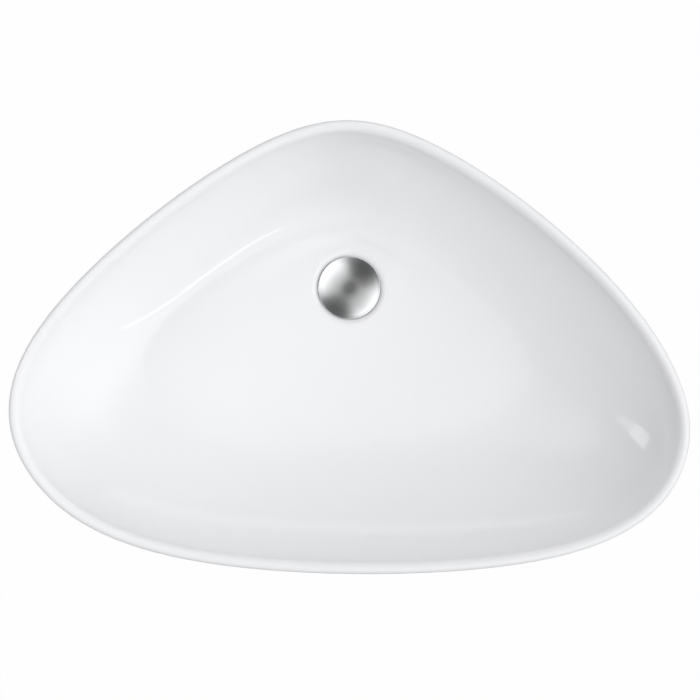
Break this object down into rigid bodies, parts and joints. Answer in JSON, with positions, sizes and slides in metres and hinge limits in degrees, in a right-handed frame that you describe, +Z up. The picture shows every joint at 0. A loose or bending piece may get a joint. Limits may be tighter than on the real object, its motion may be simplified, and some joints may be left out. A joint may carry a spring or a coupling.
{
  "type": "hand basin",
  "caption": "Three-cornered counter-top ceramic hand basin with a full round rim, a falling floor and a sprung push waste whose domed plug clicks open and shut.",
  "frame": {"origin": "on the drain axis, in the plane of the worktop that the foot stands on", "axes": "+X along the width, to the right as a user stands; +Y to the wall behind the basin; +Z up"},
  "size_m": [0.5897, 0.3929, 0.26],
  "materials": {
    "glaze": "white high-gloss glaze, unglazed under the foot",
    "cap_metal": "fine lathe-turned satin metal",
    "waste_chrome": "polished chrome plate on brass",
    "brass": "plain machined brass",
    "spring_steel": "bright drawn spring wire",
    "stem_steel": "plain turned stainless steel",
    "black_rubber": "matt moulded rubber",
    "clear_silicone": "milky soft silicone",
    "nylon": "natural nylon",
    "acetal": "white acetal, turned and moulded"
  },
  "bodies": {
    "basin": {"basin_bowl": "glaze", "upper_gasket": "black_rubber", "waste_body": "waste_chrome", "lower_gasket": "black_rubber", "slip_washer": "nylon", "back_nut": "brass", "tail_gasket": "black_rubber", "tailpiece": "waste_chrome", "cartridge_sleeve": "brass", "cartridge_collar": "brass", "cartridge_nut": "brass", "wiper_ring": "black_rubber", "guide_pin": "stem_steel", "return_spring": "spring_steel"},
    "plug": {"plug_cap": "cap_metal", "plug_seal": "clear_silicone", "plug_stem": "stem_steel", "stem_locknut": "brass", "thrust_washer": "nylon"},
    "indexer": {"index_drum": "acetal"}
  },
  "joints": [
    {"name": "plug_slide", "type": "slide", "parent": "basin", "child": "plug", "axis": [0, 0, 1], "range_m": [0, 0.009], "deforming": ["return_spring"]},
    {"name": "cam_index", "type": "hinge", "parent": "plug", "child": "indexer", "pos_m": [0, 0, -0.0186], "axis": [0, 0, 1], "range_deg": [0, 90]}
  ],
  "couplings": [
    {"joint": "cam_index", "follows": "plug_slide", "rad_per_m": 174.53}
  ]
}
